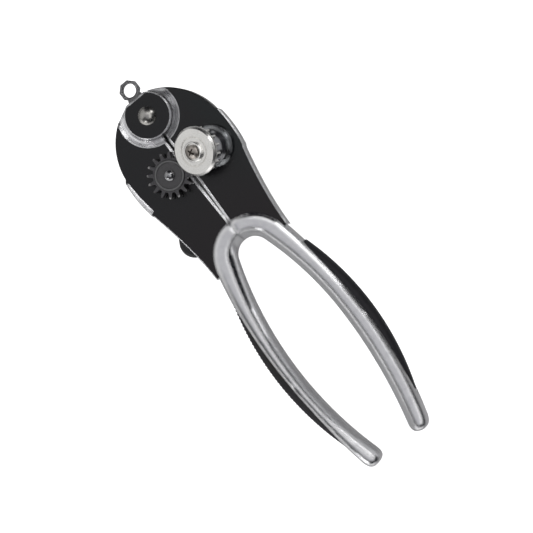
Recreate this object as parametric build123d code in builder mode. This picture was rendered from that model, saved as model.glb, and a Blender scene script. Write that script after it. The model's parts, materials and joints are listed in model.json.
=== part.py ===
from build123d import *
import os
from math import sin, cos, radians, atan2

os.makedirs("parts", exist_ok=True)

# ---------------------------------------------------------------- driving sizes (mm)
# +X is the right half, +Y runs to the hang ring, +Z comes out of the cutting side.
# Shapes are drawn about the pivot, z 0 at its lap plane; the finished pieces are then
# moved so that the middle of the hang ring's hole is the origin.

FACE_Z = 4.0            # front of the head
BACK_Z = -4.0           # back of the head
INLAY_T = 0.8           # black face plates
LIP = 0.5               # chrome left showing round a face plate
SLIT_LIP = 1.0          # chrome left showing along the slit
GAP_TOP = 0.65          # half the slit beside the wheels
GAP_LOW = 0.10          # half the slit at the crotch, where the halves meet

BOSS_R = 10.2           # round boss of the lap joint
BOSS_Z = 5.3
LAP_GAP = 0.15          # each side of the lap plane
LAP_CLEAR = 10.6        # radius cut for the other half's boss
COLLAR_R = 13.8         # where the face plates start
CHORD_Y = 8.9           # flat top of the boss, under the ring

RIVET_R = 3.0
RIVET_HEAD_R = 4.0
RING_Y = 13.6
RING_HOLE_R = 3.0
RING_R = 4.6
RING_Z = 0.6            # back of the ring
RING_T = 2.8

BAR_Z = 5.4             # half depth of the handle bars
BAR_ROUND = 2.6
SLOPE_Z = 1.0           # where the slope on the finger side starts
GRIP_Z = 3.9            # half depth of the rubber grips
RIB_PITCH = 1.75
RIB_R = 0.72

DRIVE_X, DRIVE_Y = -7.0, -26.6
SHAFT_R = 2.4
BUSH_R = 4.0
TEETH = 16
TIP_R = 10.0
ROOT_R = 7.3
FEED_Z0, FEED_Z1 = 5.0, 9.9

CUT_X, CUT_Y, CUT_Z = 13.6, -27.4, 4.2
CUT_LEAN = 22.0         # lean of the cutter's axis from the head's normal
CUT_TURN = 12.0         # which way it leans, from -X toward +Y
SEAT_R = 9.3
SLEEVE_R = 6.4
POST_R = 2.6
GEAR_K0, GEAR_K1 = 8.5, 11.3
WHEEL_K1 = 13.5
DISC_R = 10.5           # edge of the cutting wheel

KNOB_TURN = 63.5        # the knob's long axis from +X at rest
KNOB_HALF = 36.0
KNOB_Z0, KNOB_Z1 = -20.0, -8.6

# ---------------------------------------------------------------- shared shapes

cut_axis = Vector(-sin(radians(CUT_LEAN)) * cos(radians(CUT_TURN)),
                  sin(radians(CUT_LEAN)) * sin(radians(CUT_TURN)),
                  cos(radians(CUT_LEAN)))
low_side = Vector(-1, 0, 0)
low_side = (low_side - cut_axis * low_side.dot(cut_axis)).normalized()


def cutter_plane(height):
    """Plane square to the cutter's axis, its x pointing at the drive wheel."""
    centre = Vector(CUT_X, CUT_Y, CUT_Z) + cut_axis * height
    return Plane(origin=centre, x_dir=low_side, z_dir=cut_axis)


def m(side, x, y):
    return (side * x, y)


def head_outline(side, inset=0.0, slit=0.0):
    """Head of one half: slit, round top, thumb step and taper to the handle."""
    p = lambda x, y: m(side, x, y)
    e = lambda x, y: m(side, x - inset, y)      # a point on the outer edge
    top, low = GAP_TOP + slit, GAP_LOW + slit
    with BuildLine() as line:
        Polyline(p(top, 9.6), p(top, -36), p(low, -54), p(low, -61), p(6, -63.5), p(12, -68),
                 e(19.35, -73))
        Spline(e(19.35, -73), e(20.4, -58), e(22.3, -46), e(24.4, -35.8))
        Line(e(24.4, -35.8), e(25.1, -34.6))
        ThreePointArc(e(25.1, -34.6), e(26.1, -25), e(25.7, -16.6))
        Line(e(25.7, -16.6), e(24.6, -15.2))
        ThreePointArc(e(24.6, -15.2), p(18.2 - 0.8 * inset, 0.2 - 0.6 * inset),
                      p(6.2, 8.9 - inset))
        Line(p(6.2, 8.9 - inset), p(top, 9.6))
    return line


# edges of the handle bars, each a chain of arcs that run on from one another
BAR_OUT = {-1: [(GAP_LOW, -56.3), (17.6, -70.2), (22.8, -117.0), (17.2, -170.5)],
           1: [(GAP_LOW, -56.3), (17.6, -70.2), (23.6, -117.0), (16.6, -170.5)]}
BAR_IN = {-1: [(GAP_LOW, -66.5), (7.2, -71.6), (15.5, -116.0), (8.8, -169.3)],
          1: [(GAP_LOW, -66.5), (7.2, -71.6), (14.5, -116.0), (7.9, -169.3)]}
BAR_TIP = {-1: (12.5, -175.0), 1: (11.7, -175.0)}


def arc_chain(side, points):
    """Tangent arcs through the points, level at the start; returns the last direction."""
    heading = (side, 0)
    for start, end in zip(points, points[1:]):
        arc = TangentArc(m(side, *start), m(side, *end), tangent=heading)
        heading = arc % 1
    return heading


def handle_bar(side):
    """Bar of one handle: round on the outside, a long slope on the finger side."""
    out, inner, tip = BAR_OUT[side], BAR_IN[side], BAR_TIP[side]
    with BuildPart() as bar:
        with BuildSketch(Plane.XY.offset(-BAR_Z)):
            with BuildLine():
                end_out = arc_chain(side, out)
                end_in = arc_chain(side, inner)
                Spline(m(side, *out[-1]), m(side, *tip), m(side, *inner[-1]),
                       tangents=(end_out, -end_in))
                Line(m(side, *inner[0]), m(side, *out[0]))
            make_face()
        extrude(amount=2 * BAR_Z)
        rims = [e for e in bar.edges() if abs(abs(e.center().Z) - BAR_Z) < 1e-6
                and e.geom_type != GeomType.LINE]
        fillet(rims, BAR_ROUND)
        # slope toward the fingers, front and back
        for up in (1, -1):
            with BuildSketch(Plane(origin=(0, 0, up * SLOPE_Z), x_dir=(1, 0, 0), z_dir=(0, 0, up))):
                with BuildLine():
                    way = arc_chain(side, [(x, up * y) for x, y in inner])
                    x, y = m(side, inner[-1][0], up * inner[-1][1])
                    Polyline((x, y), (x + way.X * 14, y + way.Y * 14), (-side * 8, -182 * up),
                             (-side * 8, inner[0][1] * up), m(side, inner[0][0], inner[0][1] * up))
                make_face()
            extrude(amount=BAR_Z - SLOPE_Z + 0.6, taper=-36, mode=Mode.SUBTRACT)
    return bar.part


GRIP_OUT = {-1: [(19.7, -81.5), (25.75, -119), (18.4, -163.5)],
            1: [(20.9, -82.5), (26.5, -119), (18.0, -163.5)]}
GRIP_IN = {-1: [(16.6, -163.0), (21.7, -117), (18.4, -82.2)],
           1: [(16.3, -163.0), (22.5, -117), (18.4, -83.4)]}


def grip_blank(side):
    """Rubber grip let into the outer side of a bar."""
    out, seat_line = GRIP_OUT[side], GRIP_IN[side]
    with BuildPart() as grip:
        with BuildSketch(Plane.XY.offset(-GRIP_Z)):
            with BuildLine():
                ThreePointArc(*[m(side, *p) for p in out])
                Line(m(side, *out[-1]), m(side, *seat_line[0]))
                ThreePointArc(*[m(side, *p) for p in seat_line])
                Line(m(side, *seat_line[-1]), m(side, *out[0]))
            make_face()
        extrude(amount=2 * GRIP_Z)
        outer = [e for e in grip.edges() if e.length > 80 and abs((e @ 0.5).X) > 23]
        fillet(outer, 2.6)
    return grip.part


def gear_outline(plane, first_angle, tip_r, root_r, teeth=TEETH, half_tip=0.45, half_root=0.95):
    """Coarse teeth with rounded ends, one tooth centred on first_angle (degrees)."""
    with BuildSketch(mode=Mode.PRIVATE) as tooth:
        with BuildLine():
            Polyline((tip_r - 0.5, half_tip + 0.1), (root_r - 0.6, half_root),
                     (root_r - 0.6, -half_root), (tip_r - 0.5, -half_tip - 0.1))
            ThreePointArc((tip_r - 0.5, -half_tip - 0.1), (tip_r, 0),
                          (tip_r - 0.5, half_tip + 0.1))
        make_face()
    with BuildSketch(plane) as sk:
        Circle(root_r)
        with PolarLocations(0, teeth, start_angle=first_angle):
            add(tooth.sketch)
    return sk


def face_plate(side, bar):
    """Black plate let into the front of one half, cut off where the bar rises."""
    with BuildPart() as plate:
        with BuildSketch(Plane.XY.offset(FACE_Z - INLAY_T)):
            with BuildLine():
                add(head_outline(side, LIP, SLIT_LIP).line)
            make_face()
            Circle(COLLAR_R, mode=Mode.SUBTRACT)
            with BuildLine():
                arc_chain(side, [(GAP_LOW, -59.5), (15.2, -73.0)])
                Polyline(m(side, 15.2, -73.0), (side * 30, -73.0), (side * 30, -90), (-side * 3, -90),
                         (-side * 3, -59.5), m(side, GAP_LOW, -59.5))
            make_face(mode=Mode.SUBTRACT)
        extrude(amount=INLAY_T)
        add(bar, mode=Mode.SUBTRACT)
    return plate.part


def head_blank(side):
    """Flat casting of one head, with its outer rims eased."""
    with BuildPart() as head:
        with BuildSketch(Plane.XY.offset(BACK_Z)):
            add(head_outline(side).line)
            make_face()
        extrude(amount=FACE_Z - BACK_Z)
        outer = lambda e: abs((e @ 0.5).X) > 15 and (e @ 0.5).Y > -72
        fillet([e for e in head.edges().group_by(Axis.Z)[0] if outer(e)], 1.2)
        chamfer([e for e in head.edges().group_by(Axis.Z)[-1] if outer(e)], 0.4)
    return head.part


def dome(r, low, high):
    """Round cap from radius r at one height to the axis at another."""
    big = (r * r + (high - low) ** 2) / (2 * (high - low))
    half = atan2(r, big - (high - low)) / 2
    return ThreePointArc((r, low), (big * sin(half), high - big + big * cos(half)), (0, high))


def turned(points, plane=Plane.XZ):
    """Solid of revolution from a closed profile of (radius, height) points."""
    with BuildPart() as solid:
        with BuildSketch(plane):
            with BuildLine():
                Polyline(*points, close=True)
            make_face()
        revolve(axis=Axis(plane.origin, plane.y_dir))
    return solid.part


def collar_cut():
    """Ring cutter: hollow curve between the boss and the face plates."""
    with BuildPart() as cutter:
        with BuildSketch(Plane.XZ):
            with BuildLine():
                Line((BOSS_R, FACE_Z + 2), (BOSS_R, 2.2))
                ThreePointArc((BOSS_R, 2.2), (BOSS_R + 1.7, 2.1), (COLLAR_R, FACE_Z))
                Line((COLLAR_R, FACE_Z), (COLLAR_R, FACE_Z + 2))
                Line((COLLAR_R, FACE_Z + 2), (BOSS_R, FACE_Z + 2))
            make_face()
        revolve(axis=Axis.Z)
    return cutter.part


collar = collar_cut()
boss = turned([(0, LAP_GAP), (BOSS_R, LAP_GAP), (BOSS_R, BOSS_Z - 0.4), (BOSS_R - 0.4, BOSS_Z),
               (0, BOSS_Z)])
CAP_R = BOSS_R - 0.5


def cap_shape(z0, z1, grow=0.0):
    """Black disc in the top of the boss, flat where it meets the ring's neck."""
    with BuildPart() as cap:
        with BuildSketch(Plane.XY.offset(z0)):
            Circle(CAP_R + grow)
            with Locations((0, CHORD_Y - 0.8 + 5)):
                Rectangle(30, 10, mode=Mode.SUBTRACT)
        extrude(amount=z1 - z0)
    return cap.part


# ---------------------------------------------------------------- left half

left_bar = handle_bar(-1)
left_grip_blank = grip_blank(-1)

with BuildPart() as left_face_plate:
    add(face_plate(-1, left_bar))
    with Locations((DRIVE_X, DRIVE_Y, 0)):
        Cylinder(BUSH_R, 30, mode=Mode.SUBTRACT)
    # notch that leaves the chrome thumb step bare
    with BuildSketch(Plane.XY.offset(FACE_Z - 2)):
        with BuildLine():
            Polyline((-30, -17.2), (-24.5, -17.2), (-24.2, -25), (-23.0, -33.4), (-30, -36), close=True)
        make_face()
    extrude(amount=4, mode=Mode.SUBTRACT)

with BuildPart() as hang_ring:
    with BuildSketch(Plane.XY.offset(RING_Z)):
        with Locations((0, RING_Y)):
            RegularPolygon(RING_R, 8, rotation=22.5)
    extrude(amount=RING_T)
    chamfer(hang_ring.edges().filter_by(Axis.Z, reverse=True), 0.6)

with BuildPart() as left_frame:
    add(head_blank(-1))
    add(left_face_plate.part, mode=Mode.SUBTRACT)
    # room for the other half's tongue under the boss
    with Locations((0, 0, LAP_GAP - 5)):
        Cylinder(LAP_CLEAR, 10, mode=Mode.SUBTRACT)
    add(boss)
    add(collar, mode=Mode.SUBTRACT)
    with Locations((0, CHORD_Y + 5, 5)):
        Box(14, 10, 12, mode=Mode.SUBTRACT)
    # hang ring on its short neck
    add(hang_ring.part)
    with BuildSketch(Plane.XY.offset(RING_Z)):
        with Locations((0, CHORD_Y + 0.6)):
            Trapezoid(8.2, 3.2, 68)
    extrude(amount=RING_T)
    with Locations((0, RING_Y, RING_Z)):
        Cylinder(RING_HOLE_R, 30, mode=Mode.SUBTRACT)
    add(left_bar)
    add(left_grip_blank, mode=Mode.SUBTRACT)
    add(cap_shape(BOSS_Z - 0.6, BOSS_Z + 1), mode=Mode.SUBTRACT)
    Cylinder(RIVET_R, 30, mode=Mode.SUBTRACT)
    with Locations((DRIVE_X, DRIVE_Y, 0)):
        Cylinder(BUSH_R, 30, mode=Mode.SUBTRACT)

with BuildPart() as boss_cap:
    add(cap_shape(BOSS_Z - 0.6, BOSS_Z))
    Cylinder(RIVET_R, 30, mode=Mode.SUBTRACT)

with BuildPart() as pivot_rivet:
    # domed head in front, shank, flat turned head behind
    with BuildSketch(Plane.XZ):
        with BuildLine():
            Line((0, -5.6), (RIVET_HEAD_R - 0.3, -5.6))
            Line((RIVET_HEAD_R - 0.3, -5.6), (RIVET_HEAD_R, -5.2))
            Line((RIVET_HEAD_R, -5.2), (RIVET_HEAD_R, BACK_Z - 0.6))
            Line((RIVET_HEAD_R, BACK_Z - 0.6), (RIVET_R, BACK_Z - 0.6))
            Line((RIVET_R, BACK_Z - 0.6), (RIVET_R, BOSS_Z))
            Line((RIVET_R, BOSS_Z), (RIVET_HEAD_R, BOSS_Z))
            Line((RIVET_HEAD_R, BOSS_Z), (RIVET_HEAD_R, BOSS_Z + 0.35))
            dome(RIVET_HEAD_R, BOSS_Z + 0.35, BOSS_Z + 1.95)
            Line((0, BOSS_Z + 1.95), (0, -5.6))
        make_face()
    revolve(axis=Axis.Z)

with BuildPart() as rivet_washer:
    with Locations((0, 0, BACK_Z - 0.35)):
        Cylinder(6.0, 0.5)
        Cylinder(RIVET_R, 1, mode=Mode.SUBTRACT)

with BuildPart() as left_grip:
    add(left_grip_blank)
    # cross ribs down the outer face
    rib_line = ThreePointArc((-20.9, -85.5), (-25.97, -119), (-19.9, -160.5))
    with Locations([rib_line.position_at(k * RIB_PITCH / rib_line.length)
                    for k in range(int(rib_line.length / RIB_PITCH) + 1)]):
        Cylinder(RIB_R, 3 * GRIP_Z, mode=Mode.SUBTRACT)

with BuildPart() as shaft_bushing:
    with Locations((DRIVE_X, DRIVE_Y, 0)):
        with Locations((0, 0, (BACK_Z - 0.6 + FACE_Z) / 2)):
            Cylinder(BUSH_R, FACE_Z - BACK_Z + 0.6)
        with Locations((0, 0, BACK_Z - 0.3)):
            Cylinder(BUSH_R + 1.6, 0.6)
        with Locations((0, 0, FACE_Z + 0.35)):
            Cylinder(BUSH_R, 0.7)
        Cylinder(SHAFT_R + 0.05, 30, mode=Mode.SUBTRACT)

# ---------------------------------------------------------------- right half

seat_plane = cutter_plane(0)
seat = turned([(0, -4.5), (SEAT_R, -4.5), (SEAT_R, -0.7), (SEAT_R - 0.7, 0), (0, 0)])
seat_tool = turned([(0, -0.7), (SEAT_R, -0.7), (SEAT_R, 12), (0, 12)])


def on_cutter(solid, height=0.0):
    """Put a solid made about Z onto the cutter's leaning axis."""
    return cutter_plane(height).location * solid


right_bar = handle_bar(1)

with BuildPart() as right_face_plate:
    add(face_plate(1, right_bar))
    add(on_cutter(seat_tool), mode=Mode.SUBTRACT)
    add(on_cutter(seat), mode=Mode.SUBTRACT)

with BuildPart() as right_grip:
    add(grip_blank(1))

with BuildPart() as right_frame:
    add(head_blank(1))
    add(right_face_plate.part, mode=Mode.SUBTRACT)
    add(collar, mode=Mode.SUBTRACT)
    # room for the other half's boss, with the tongue left under it
    with Locations((0, 0, 5)):
        Cylinder(LAP_CLEAR, 10 + 2 * LAP_GAP, mode=Mode.SUBTRACT)
    with Locations((0, 0, (BACK_Z - LAP_GAP) / 2)):
        Cylinder(BOSS_R, -LAP_GAP - BACK_Z)
    add(on_cutter(seat_tool), mode=Mode.SUBTRACT)
    add(on_cutter(seat))
    add(right_bar)
    add(right_grip.part, mode=Mode.SUBTRACT)
    Cylinder(RIVET_R + 0.05, 30, mode=Mode.SUBTRACT)
    add(on_cutter(turned([(0, -4.0), (POST_R, -4.0), (POST_R, 3), (0, 3)])), mode=Mode.SUBTRACT)

with BuildPart() as cutter_sleeve:
    add(on_cutter(turned([(POST_R, 0), (SLEEVE_R + 0.9, 0), (SLEEVE_R, 1.6), (SLEEVE_R - 0.6, 6.6),
                          (SLEEVE_R - 0.6, GEAR_K0 - 0.3), (POST_R, GEAR_K0 - 0.3)])))

SCREW_K = WHEEL_K1 + 0.75   # underside of the screw's head

with BuildPart() as cutter_post:
    add(on_cutter(turned([(0, -4.0), (POST_R, -4.0), (POST_R, SCREW_K), (0, SCREW_K)])))

with BuildPart() as cutter_screw:
    with BuildSketch(Plane.XZ):
        with BuildLine():
            Line((0, SCREW_K), (2.95, SCREW_K))
            Line((2.95, SCREW_K), (2.95, SCREW_K + 0.9))
            dome(2.95, SCREW_K + 0.9, SCREW_K + 1.9)
            Line((0, SCREW_K + 1.9), (0, SCREW_K))
        make_face()
    revolve(axis=Axis.Z)
    # cross recess
    with BuildSketch(Plane.XY.offset(SCREW_K + 2.0)):
        Rectangle(3.5, 0.75)
        Rectangle(0.75, 3.5)
    extrude(amount=-1.5, taper=12, mode=Mode.SUBTRACT)
screw_placed = on_cutter(Rot(0, 0, 24) * cutter_screw.part)

# ---------------------------------------------------------------- drive, on the left half

with BuildPart() as drive_shaft:
    with BuildSketch(Plane((DRIVE_X, DRIVE_Y, 0), x_dir=(1, 0, 0), z_dir=(0, -1, 0))):
        with BuildLine():
            Polyline((0, KNOB_Z0 + 3), (SHAFT_R, KNOB_Z0 + 3), (SHAFT_R, FEED_Z1 + 0.9))
            dome(SHAFT_R, FEED_Z1 + 0.9, FEED_Z1 + 2.1)
            Line((0, FEED_Z1 + 2.1), (0, KNOB_Z0 + 3))
        make_face()
    revolve(axis=Axis((DRIVE_X, DRIVE_Y, 0), (0, 0, 1)))

with BuildPart() as feed_wheel:
    base = Plane((DRIVE_X, DRIVE_Y, FEED_Z0), x_dir=(1, 0, 0), z_dir=(0, 0, 1))
    add(gear_outline(base, -2.0 + 180 / TEETH, TIP_R, ROOT_R).sketch)
    extrude(amount=FEED_Z1 - FEED_Z0)
    with Locations((DRIVE_X, DRIVE_Y, FEED_Z1 - 0.5)):
        Cylinder(6.6, 1.01, mode=Mode.SUBTRACT)
    with Locations((DRIVE_X, DRIVE_Y, 0)):
        Cylinder(SHAFT_R, 40, mode=Mode.SUBTRACT)

with BuildPart() as feed_hub:
    # raised ring with a dished middle
    drive = Location((DRIVE_X, DRIVE_Y, 0))
    add(drive * turned([(SHAFT_R, FEED_Z1 - 1.0), (6.6, FEED_Z1 - 1.0), (6.6, FEED_Z1 + 0.3),
                        (6.3, FEED_Z1 + 0.6), (5.7, FEED_Z1 + 0.6), (5.4, FEED_Z1 + 0.25),
                        (SHAFT_R, FEED_Z1 + 0.25)]))

with BuildPart() as thrust_washer:
    with Locations((DRIVE_X, DRIVE_Y, BACK_Z - 0.6 - 0.1 - 0.5)):
        Cylinder(7.5, 1.0)
        Cylinder(SHAFT_R, 3, mode=Mode.SUBTRACT)

knob_plane = Plane((DRIVE_X, DRIVE_Y, KNOB_Z0), x_dir=(cos(radians(KNOB_TURN)),
                   sin(radians(KNOB_TURN)), 0), z_dir=(0, 0, 1))

with BuildPart() as knob:
    with BuildSketch(knob_plane):
        with BuildLine():
            for a in (1, -1):
                Spline((a * 0, a * 7.6), (a * 14, a * 5.4), (a * 28.5, a * 6.8),
                       tangents=((a * 1, 0), (a * 1, a * 0.06)))
                ThreePointArc((a * 28.5, a * 6.8), (a * KNOB_HALF, 0), (a * 28.5, -a * 6.8))
                Spline((a * 28.5, -a * 6.8), (a * 14, -a * 5.4), (0, -a * 7.6),
                       tangents=((-a * 1, a * 0.06), (-a * 1, 0)))
        make_face()
    extrude(amount=KNOB_Z1 - KNOB_Z0)
    fillet(knob.edges().filter_by(Axis.Z, reverse=True), 2.0)
    with Locations((DRIVE_X, DRIVE_Y, 0)):
        with Locations((0, 0, (KNOB_Z0 + BACK_Z - 1.9) / 2)):
            Cylinder(9.0, BACK_Z - 1.9 - KNOB_Z0)
        with Locations((0, 0, KNOB_Z0 + 1.0)):
            Cylinder(6.5, 2.0, mode=Mode.SUBTRACT)
        with Locations((0, 0, KNOB_Z0 + 13)):
            Cylinder(SHAFT_R, 20, mode=Mode.SUBTRACT)

with BuildPart() as knob_cap:
    with Locations((DRIVE_X, DRIVE_Y, KNOB_Z0 + 1.0)):
        Cylinder(6.5, 2.0)
        chamfer(knob_cap.edges().group_by(Axis.Z)[0], 0.6)

# ---------------------------------------------------------------- cutter, on the right half

with BuildPart() as cutter_gear:
    add(gear_outline(Plane.XY.offset(GEAR_K0), 0, TIP_R, ROOT_R).sketch)
    extrude(amount=GEAR_K1 - GEAR_K0)
    Cylinder(POST_R + 0.05, 60, mode=Mode.SUBTRACT)
gear_placed = on_cutter(cutter_gear.part)

with BuildPart() as cutting_wheel:
    with BuildSketch(Plane.XZ):
        with BuildLine():
            Polyline((POST_R + 0.05, GEAR_K1), (9.4, GEAR_K1), (DISC_R - 0.05, GEAR_K1 + 0.6),
                     (DISC_R, GEAR_K1 + 1.0), (DISC_R - 0.15, GEAR_K1 + 1.35), (9.5, WHEEL_K1),
                     (6.5, WHEEL_K1), (6.3, WHEEL_K1 - 0.45), (6.0, WHEEL_K1 - 0.45),
                     (5.8, WHEEL_K1 - 0.05), (POST_R + 0.05, WHEEL_K1 - 0.05),
                     (POST_R + 0.05, GEAR_K1))
        make_face()
    revolve(axis=Axis.Z)
wheel_placed = on_cutter(cutting_wheel.part)

with BuildPart() as wheel_hub:
    add(on_cutter(turned([(POST_R + 0.05, WHEEL_K1 - 0.05), (4.5, WHEEL_K1 - 0.05), (4.4, WHEEL_K1 + 0.9),
                          (4.0, WHEEL_K1 + 1.2), (3.6, WHEEL_K1 + 1.2), (3.4, WHEEL_K1 + 0.5),
                          (POST_R + 0.05, WHEEL_K1 + 0.5)])))

# ---------------------------------------------------------------- write the parts

PARTS = {
    "left_frame": left_frame.part,
    "left_face_plate": left_face_plate.part,
    "boss_cap": boss_cap.part,
    "pivot_rivet": pivot_rivet.part,
    "rivet_washer": rivet_washer.part,
    "left_grip": left_grip.part,
    "shaft_bushing": shaft_bushing.part,
    "right_frame": right_frame.part,
    "right_face_plate": right_face_plate.part,
    "right_grip": right_grip.part,
    "cutter_sleeve": cutter_sleeve.part,
    "cutter_post": cutter_post.part,
    "cutter_screw": screw_placed,
    "drive_shaft": drive_shaft.part,
    "feed_wheel": feed_wheel.part,
    "feed_hub": feed_hub.part,
    "thrust_washer": thrust_washer.part,
    "knob": knob.part,
    "knob_cap": knob_cap.part,
    "cutter_gear": gear_placed,
    "cutting_wheel": wheel_placed,
    "wheel_hub": wheel_hub.part,
}

to_ring = Location((0, -RING_Y, -(RING_Z + RING_T / 2)))
for name, part in PARTS.items():
    placed = to_ring * part
    placed.label = name
    export_step(placed, f"parts/{name}.step")
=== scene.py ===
import json
from math import cos, pi, radians, sin, sqrt

import bmesh
import bpy
from mathutils import Matrix, Vector


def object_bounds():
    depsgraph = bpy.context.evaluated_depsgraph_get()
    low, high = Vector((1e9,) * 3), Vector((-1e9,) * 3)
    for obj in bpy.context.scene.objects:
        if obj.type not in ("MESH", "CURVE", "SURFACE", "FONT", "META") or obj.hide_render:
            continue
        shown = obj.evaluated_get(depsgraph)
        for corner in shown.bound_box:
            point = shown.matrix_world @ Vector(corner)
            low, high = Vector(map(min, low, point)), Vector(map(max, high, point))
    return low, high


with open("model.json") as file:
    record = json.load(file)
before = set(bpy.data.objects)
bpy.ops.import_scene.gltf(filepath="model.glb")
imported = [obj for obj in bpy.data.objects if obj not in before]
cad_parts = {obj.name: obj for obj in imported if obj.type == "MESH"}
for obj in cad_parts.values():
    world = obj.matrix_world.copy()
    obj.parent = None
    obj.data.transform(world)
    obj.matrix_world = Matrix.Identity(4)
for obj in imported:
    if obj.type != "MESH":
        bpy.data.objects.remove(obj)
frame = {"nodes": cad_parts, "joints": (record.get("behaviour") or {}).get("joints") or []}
cad_low, cad_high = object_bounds()

joints = {joint["name"]: joint for joint in frame["joints"]}
pivot = Vector(joints["jaw_pivot"]["pos_m"])
drive = Vector(joints["drive_spin"]["pos_m"])
cutter = Vector(joints["cutter_spin"]["pos_m"])
cutter_axis = Vector(joints["cutter_spin"]["axis"]).normalized()
hang_hole = Vector((0, 0, 0))
RIGHT, RINGWARD, UP = Vector((1, 0, 0)), Vector((0, 1, 0)), Vector((0, 0, 1))

# where a change of finish starts and is full: metres from an axis or past a plane
RING_EDGE = (0.0045, 0.0062)
SEAT_EDGE = (0.0096, 0.0100)
COLLAR_EDGE = (0.0136, 0.0139)
COLLAR_SIDE = (-0.002, 0.006)
RIM_EDGE = (0.0137, 0.0139)
NECK_SIDE = (0.0050, 0.0053)
CRISP = (-0.0001, 0.0001)
RIM_FOOT = pivot - 0.0166 * RINGWARD
RIM_BACK = pivot - 0.0028 * UP
PLATE_FOOT = (0.028, 0.062)
PLATE_FLANK = (0.012, 0.026)
TOOTH_TIPS = (0.0088, 0.0098)
HUB_RING_INSIDE = (0.0053, 0.0056)
HUB_RING_OUTSIDE = (0.0062, 0.0065)

# depths of relief and widths of softened edges, in metres
HANDLE_EDGE, WHEEL_EDGE = 0.0030, 0.00025
CHROME_SWAY, LACQUER_PEEL, LATHE_DEPTH = 0.00018, 0.000006, 0.000004
STEEL_GRIT, RUBBER_GRAIN, PLASTIC_GRAIN = 0.00002, 0.00003, 0.000025
LATHE_PITCH = 0.00022
LATHE_GRAIN = 0.05


# ---------------------------------------------------------------- shader maths

class Flow:
    """One shader socket that can be used in Python arithmetic."""

    def __init__(self, finish, socket):
        self.finish, self.socket = finish, socket

    def calc(self, kind, *values):
        return self.finish.node("ShaderNodeMath", {"operation": kind}, dict(enumerate(values)))

    def __add__(self, other):
        return self.calc("ADD", self, other)

    def __radd__(self, other):
        return self.calc("ADD", other, self)

    def __sub__(self, other):
        return self.calc("SUBTRACT", self, other)

    def __rsub__(self, other):
        return self.calc("SUBTRACT", other, self)

    def __mul__(self, other):
        return self.calc("MULTIPLY", self, other)

    def __rmul__(self, other):
        return self.calc("MULTIPLY", other, self)

    def wave(self):
        return self.calc("SINE", self)

    def size(self):
        return self.calc("ABSOLUTE", self)

    def ease(self, start, end):
        """0 before start, 1 after end, smooth between."""
        return self.finish.node("ShaderNodeMapRange", {"interpolation_type": "SMOOTHSTEP"},
                                {0: self, 1: start, 2: end, 3: 0.0, 4: 1.0})


def lay_stops(ramp, stops):
    """Stops in rising order; the first and the last take the two that a new ramp has."""
    for element, (place, colour) in zip(ramp.elements, (stops[0], stops[-1])):
        element.position, element.color = place, (*colour, 1)
    for place, colour in stops[1:-1]:
        ramp.elements.new(place).color = (*colour, 1)


class Finish:
    """A material under construction."""

    def __init__(self, name):
        self.material = bpy.data.materials.new(name)
        self.material.use_nodes = True
        self.tree = self.material.node_tree
        self.shader = next(n for n in self.tree.nodes if n.type == "BSDF_PRINCIPLED")
        self.place = self.node("ShaderNodeTexCoord", out="Object")

    def node(self, kind, settings=None, inputs=None, out=0):
        made = self.tree.nodes.new(kind)
        for key, value in (settings or {}).items():
            if key == "stops":
                lay_stops(made.color_ramp, value)
            else:
                setattr(made, key, value)
        for key, value in (inputs or {}).items():
            if isinstance(value, Flow):
                self.tree.links.new(value.socket, made.inputs[key])
            else:
                made.inputs[key].default_value = value
        return Flow(self, made.outputs[out])

    # patterns -----------------------------------------------------------
    def cloud(self, per_metre, detail=3.0, rough=0.5, seed=0.0, stretch=None):
        """Soft noise about 0.5; stretch squeezes it along the axes."""
        where = self.place
        if stretch or seed:
            where = self.node("ShaderNodeMapping", None,
                              {0: where, 1: (seed, seed * 0.7, seed * 0.3), 3: stretch or (1, 1, 1)})
        return self.node("ShaderNodeTexNoise", {"noise_dimensions": "3D"},
                         {"Vector": where, "Scale": per_metre, "Detail": detail, "Roughness": rough})

    def cells(self, per_metre):
        return self.node("ShaderNodeTexVoronoi", {"feature": "F1"},
                         {"Vector": self.place, "Scale": per_metre})

    def away(self, centre):
        """Where a point stands from a centre, as a vector."""
        return self.node("ShaderNodeVectorMath", {"operation": "SUBTRACT"},
                         {0: self.place, 1: tuple(centre)})

    def along(self, centre, axis):
        """Distance along an axis from a point, in metres."""
        return self.node("ShaderNodeVectorMath", {"operation": "DOT_PRODUCT"},
                         {0: self.away(centre), 1: tuple(axis)}, "Value")

    def off_axis(self, centre, axis):
        """Distance from an axis through a point, in metres."""
        across = self.node("ShaderNodeVectorMath", {"operation": "CROSS_PRODUCT"},
                           {0: self.away(centre), 1: tuple(axis)})
        return self.node("ShaderNodeVectorMath", {"operation": "LENGTH"}, {0: across}, "Value")

    def blend(self, share, low, high):
        """Colour between two colours."""
        return self.node("ShaderNodeMix", {"data_type": "RGBA"},
                         {0: share, 6: low if isinstance(low, Flow) else (*low, 1),
                          7: high if isinstance(high, Flow) else (*high, 1)}, 2)

    # the shader's own sockets -------------------------------------------
    def set(self, **values):
        for key, value in values.items():
            socket = self.shader.inputs[key.replace("_", " ")]
            if isinstance(value, Flow):
                self.tree.links.new(value.socket, socket)
            else:
                socket.default_value = value if not isinstance(value, tuple) else (*value, 1)
        return self

    def relief(self, height, depth, edge=None, samples=4):
        """Bump of a height from 0 to 1 that stands depth metres deep, on edges rounded by edge metres."""
        inputs = {"Strength": 1.0, "Distance": depth, "Height": height}
        if edge:
            inputs["Normal"] = self.node("ShaderNodeBevel", {"samples": samples}, {"Radius": edge})
        return self.set(Normal=self.node("ShaderNodeBump", None, inputs))

    def on(self, *nodes):
        for name in nodes:
            slots = frame["nodes"][name].data.materials
            slots.clear()
            slots.append(self.material)
        return self


# ---------------------------------------------------------------- finishes

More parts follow.
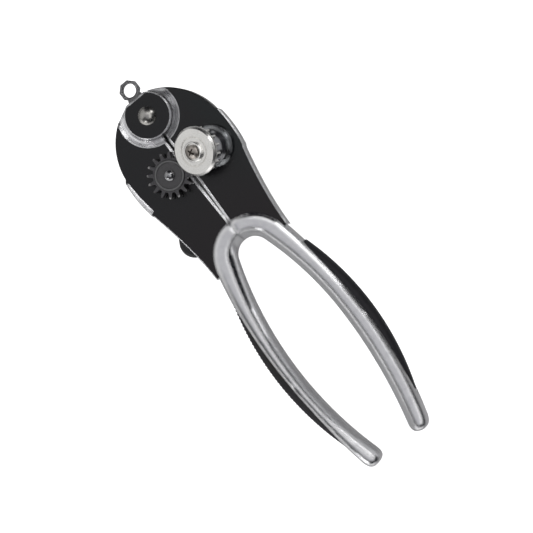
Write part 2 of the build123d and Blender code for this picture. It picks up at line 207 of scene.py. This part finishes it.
def polished_chrome():
    """Bright plating on softly rounded edges; the black finish wraps over the round top of the head."""
    f = Finish("polished_chrome")
    sway = f.cloud(60, detail=1.0, rough=0.4)
    haze = f.cloud(260, seed=3.1)
    swirl = f.cloud(2600, detail=2.0, seed=1.7, stretch=(1.0, 0.12, 1.0))
    tone = f.blend(haze.ease(0.35, 0.75), (0.80, 0.80, 0.81), (0.74, 0.74, 0.752))

    # tinted darker at the ring, the cutter's seat and the right of the collar, for reflections of dark
    # things that the sky doesn't hold
    ring = 1 - f.off_axis(hang_hole, UP).ease(*RING_EDGE)
    seat = 1 - f.off_axis(cutter, cutter_axis).ease(*SEAT_EDGE)
    collar = (1 - f.off_axis(pivot, UP).ease(*COLLAR_EDGE)) * f.along(pivot, RIGHT).ease(*COLLAR_SIDE)
    tone = f.blend(ring * 0.85, tone, (0.14, 0.14, 0.145))
    tone = f.blend(seat * 0.85, tone, (0.22, 0.23, 0.24))
    tone = f.blend(collar * 0.35, tone, (0.30, 0.30, 0.31))

    # the black wraps over the rim outside the collar, but not over the ring's neck
    wrap = f.off_axis(pivot, UP).ease(*RIM_EDGE) * f.along(RIM_FOOT, RINGWARD).ease(*CRISP)
    wrap = wrap * f.along(pivot, RIGHT).size().ease(*NECK_SIDE) * f.along(RIM_BACK, UP).ease(*CRISP)
    tone = f.blend(wrap, tone, (0.006, 0.006, 0.007))

    f.set(Base_Color=tone, Metallic=1 - wrap,
          Roughness=0.05 + 0.05 * haze.ease(0.4, 0.8) + 0.02 * swirl + 0.14 * wrap)
    return f.relief(sway * 0.5 + swirl * 0.01, CHROME_SWAY, HANDLE_EDGE, samples=6)


def black_lacquer():
    """Glossy black, with painted reflection tints: a little warmer at the foot of the head and cooler along
    its right flank.
    """
    f = Finish("black_lacquer")
    peel = f.cloud(1400, detail=2.0, rough=0.45)
    broad = f.cloud(45, detail=2.0, seed=2.2)
    # painted reflection tints: warmer toward the foot, cooler along the right flank
    foot = f.along(pivot, -RINGWARD).ease(*PLATE_FOOT)
    flank = f.along(pivot, RIGHT).ease(*PLATE_FLANK)
    body = f.blend(foot, (0.0045, 0.0048, 0.0062), (0.0055, 0.0025, 0.0040))
    body = f.blend(flank * (1 - foot), body, (0.0030, 0.0075, 0.0080))
    f.set(Base_Color=body, Roughness=0.20 + 0.05 * broad + 0.03 * peel, Specular_IOR_Level=0.45)
    return f.relief(peel, LACQUER_PEEL)


def turned_steel(name, centre, axis, light, dark, rough):
    """Metal with fine lathe rings about an axis."""
    f = Finish(name)
    radius = f.off_axis(centre, axis)
    ring = (radius * (2 * pi / LATHE_PITCH)).wave() * 0.5 + 0.5
    broad = f.cloud(1500, detail=2.0)
    worn = f.cloud(260, detail=4.0, rough=0.6, seed=1.3)
    rows = f.node("ShaderNodeTexNoise", {"noise_dimensions": "1D"},
                  {"W": radius * 9000, "Scale": 1.0, "Detail": 3.0, "Roughness": 0.6})
    tone = f.blend(rows.ease(0.3, 0.7) * 0.5 + worn.ease(0.3, 0.7) * 0.5, light, dark)
    f.set(Base_Color=tone, Metallic=1.0,
          Roughness=rough + LATHE_GRAIN * (rows - 0.5) + LATHE_GRAIN * (worn - 0.5))
    return f.relief(ring * 0.35 + rows * 0.5 + broad * 0.15, LATHE_DEPTH)


def blackened_steel(name, ground, rubbed):
    """Dark steel about the drive shaft, bright on the tooth tips, partly from wear and partly as painted
    glints, and lighter on the hub's ring.
    """
    f = Finish(name)
    radius = f.off_axis(drive, UP)
    grit = f.cloud(2200, detail=4.0, rough=0.65)
    worn = f.cloud(420, rough=0.6, seed=4.0)
    # tooth tips brightened: partly wear, partly painted glints
    tips = radius.ease(*TOOTH_TIPS) * worn.ease(0.42, 0.62)
    rim = radius.ease(*HUB_RING_INSIDE) * (1 - radius.ease(*HUB_RING_OUTSIDE))
    tone = f.blend(grit.ease(0.3, 0.7), ground, rubbed)
    tone = f.blend(tips, tone, (0.50, 0.49, 0.48))
    tone = f.blend(rim * 0.8, tone, (0.20, 0.20, 0.20))
    f.set(Base_Color=tone, Metallic=0.85, Roughness=0.38 - 0.14 * tips + 0.12 * (grit - 0.5))
    return f.relief(grit, STEEL_GRIT, WHEEL_EDGE)


def moulded_rubber(name, colour, bloom):
    f = Finish(name)
    grain = f.cloud(3800, rough=0.6)
    pores = f.cells(2600)
    dust = f.cloud(160, detail=4.0, rough=0.6, seed=5.0)
    f.set(Base_Color=f.blend(dust.ease(0.35, 0.75), colour, bloom), Roughness=0.52 + 0.14 * grain,
          Specular_IOR_Level=0.42)
    return f.relief(grain * 0.6 + pores * 0.4, RUBBER_GRAIN)


def moulded_plastic():
    f = Finish("moulded_plastic")
    spark = f.cells(2200)
    fine = f.cloud(5200, detail=2.0, rough=0.6)
    rub = f.cloud(120, seed=6.0)
    f.set(Base_Color=f.blend(rub, (0.010, 0.010, 0.011), (0.020, 0.020, 0.022)),
          Roughness=0.34 + 0.10 * fine, Specular_IOR_Level=0.5)
    return f.relief(spark * 0.5 + fine * 0.5, PLASTIC_GRAIN)


def pale_floor():
    """A plain floor that bounces light as any would, and glows white to the camera alone."""
    f = Finish("pale_floor")
    seen = f.node("ShaderNodeLightPath", out="Is Camera Ray")
    return f.set(Base_Color=(0.80, 0.80, 0.80), Roughness=0.8, Specular_IOR_Level=0.0,
                 Emission_Color=f.blend(seen, (0.0, 0.0, 0.0), (1.0, 1.0, 1.0)), Emission_Strength=1.0)


polished_chrome().on("left_frame", "right_frame")
black_lacquer().on("left_face_plate", "right_face_plate", "boss_cap")
blackened_steel("blackened_steel", (0.075, 0.073, 0.077), (0.120, 0.117, 0.121)).on("feed_wheel")
blackened_steel("rubbed_steel", (0.085, 0.084, 0.086), (0.120, 0.118, 0.120)).on("feed_hub")
turned_steel("shaft_steel", drive, UP, (0.40, 0.40, 0.41), (0.28, 0.28, 0.29), 0.24).on("drive_shaft")
turned_steel("bushing_steel", drive, UP, (0.10, 0.10, 0.105), (0.06, 0.06, 0.065), 0.4).on(
    "shaft_bushing", "thrust_washer")
turned_steel("rivet_nickel", pivot, UP, (0.44, 0.43, 0.41), (0.33, 0.32, 0.305), 0.26).on(
    "pivot_rivet", "rivet_washer")
turned_steel("satin_nickel", cutter, cutter_axis, (0.94, 0.93, 0.905), (0.86, 0.85, 0.825), 0.27).on(
    "cutter_gear", "cutting_wheel", "wheel_hub")
turned_steel("sleeve_chrome", cutter, cutter_axis, (0.55, 0.55, 0.57), (0.44, 0.44, 0.46), 0.22).on(
    "cutter_sleeve", "cutter_post")
turned_steel("screw_steel", cutter, cutter_axis, (0.52, 0.48, 0.44), (0.36, 0.33, 0.30), 0.30).on(
    "cutter_screw")
moulded_rubber("ribbed_rubber", (0.016, 0.0145, 0.016), (0.028, 0.025, 0.027)).on("left_grip")
moulded_rubber("smooth_rubber", (0.015, 0.014, 0.019), (0.024, 0.022, 0.028)).on("right_grip")
moulded_plastic().on("knob", "knob_cap")

# ---------------------------------------------------------------- stage, light and camera

FLOOR_HALF, FLOOR_GAP = 4.0, 0.0004

shop = bmesh.new()
bmesh.ops.create_grid(shop, x_segments=1, y_segments=1, size=FLOOR_HALF)
bmesh.ops.translate(shop, verts=shop.verts, vec=(0, 0, cad_low.z - FLOOR_GAP))
floor_mesh = bpy.data.meshes.new("floor")
shop.to_mesh(floor_mesh)
shop.free()
floor = bpy.data.objects.new("floor", floor_mesh)
bpy.context.scene.collection.objects.link(floor)
floor_mesh.materials.append(pale_floor().material)


class Sky(Finish):
    """The studio round the object, as the chrome mirrors it; stops run from the horizon to overhead."""

    # dark from the horizon to well up, with a bright strip near the top
    RIGHT_SIDE = [
        (0.00, (0.22, 0.22, 0.22)), (0.01, (0.006, 0.006, 0.007)), (0.84, (0.010, 0.010, 0.012)),
        (0.88, (0.74, 0.74, 0.74)), (0.95, (0.76, 0.76, 0.76)), (0.97, (0.44, 0.44, 0.45)),
        (0.985, (0.30, 0.30, 0.31)), (1.00, (0.30, 0.30, 0.31))]
    # bright low down, dark above it
    LEFT_SIDE = [
        (0.00, (0.30, 0.30, 0.30)), (0.03, (0.62, 0.62, 0.62)), (0.34, (0.66, 0.66, 0.66)),
        (0.42, (0.010, 0.010, 0.012)), (0.90, (0.012, 0.012, 0.014)), (0.93, (0.30, 0.30, 0.31)),
        (0.96, (0.27, 0.27, 0.28)), (1.00, (0.30, 0.30, 0.31))]
    # an even grey beyond the ring, on the left
    RING_END = [
        (0.00, (0.10, 0.10, 0.10)), (0.20, (0.16, 0.16, 0.16)), (0.45, (0.36, 0.36, 0.36)),
        (0.75, (0.38, 0.38, 0.38)), (0.95, (0.27, 0.27, 0.28)), (1.00, (0.30, 0.30, 0.31))]
    TO_RING_END, TO_RIGHT = (0.11, 0.20), (-0.12, 0.12)
    SEEN_DIRECTLY = (0.45, 0.45, 0.455)
    STRENGTH = 2.0

    def __init__(self):
        world = bpy.data.worlds.new("studio")
        bpy.context.scene.world = world
        world.use_nodes = True
        self.tree = world.node_tree
        self.shader = next(n for n in self.tree.nodes if n.type == "BACKGROUND")
        way = self.node("ShaderNodeTexCoord", out="Generated")
        across, along, height = (self.node("ShaderNodeSeparateXYZ", None, {0: way}, axis) for axis in "XYZ")
        right, left, plain = (self.node("ShaderNodeValToRGB", {"stops": stops}, {0: height})
                              for stops in (self.RIGHT_SIDE, self.LEFT_SIDE, self.RING_END))
        left = self.blend(along.ease(*self.TO_RING_END), left, plain)
        glow = self.blend(across.ease(*self.TO_RIGHT), left, right)
        seen = self.node("ShaderNodeLightPath", out="Is Camera Ray")
        self.set(Color=self.blend(seen, glow, self.SEEN_DIRECTLY), Strength=self.STRENGTH)


Sky()


def softbox(name, place, aim, size, power):
    light = bpy.data.lights.new(name, "AREA")
    light.shape, light.size, light.energy = "SQUARE", size, power
    box = bpy.data.objects.new(name, light)
    bpy.context.scene.collection.objects.link(box)
    box.location = place
    box.rotation_euler = (aim - place).to_track_quat("-Z", "Y").to_euler()


middle = (cad_low + cad_high) / 2
softbox("key_light", middle + Vector((0.75, 0.25, 0.75)), middle, size=0.30, power=1.2)
softbox("side_light", middle + Vector((-0.8, -0.35, 0.6)), middle, size=0.25, power=0.8)

# camera leans a little toward the right half and the handles, turned so the ring is upper left
LEAN_RIGHT, LEAN_FOOT, ROLL = radians(10.73), radians(4.91), radians(38.1)
CAMERA_DISTANCE, LENS_MM, SENSOR_MM = 0.7985, 128.3, 36.0
NEAREST, FARTHEST = 0.05, 20.0
AIM = Vector((0.0008, -0.0949, 0.0))

back = Vector((sin(LEAN_RIGHT), -sin(LEAN_FOOT), 0))
back.z = sqrt(1 - back.length_squared)
top = Vector((sin(ROLL), cos(ROLL), 0))
top = (top - back * top.dot(back)).normalized()
side = top.cross(back)
lens = bpy.data.cameras.new("camera")
lens.sensor_width, lens.lens = SENSOR_MM, LENS_MM
lens.clip_start, lens.clip_end = NEAREST, FARTHEST
camera = bpy.data.objects.new("camera", lens)
bpy.context.scene.collection.objects.link(camera)
camera.matrix_world = Matrix.Translation(AIM + back * CAMERA_DISTANCE) @ Matrix(
    (side, top, back)).transposed().to_4x4()
bpy.context.scene.camera = camera
bpy.context.scene.view_settings.view_transform = "Standard"
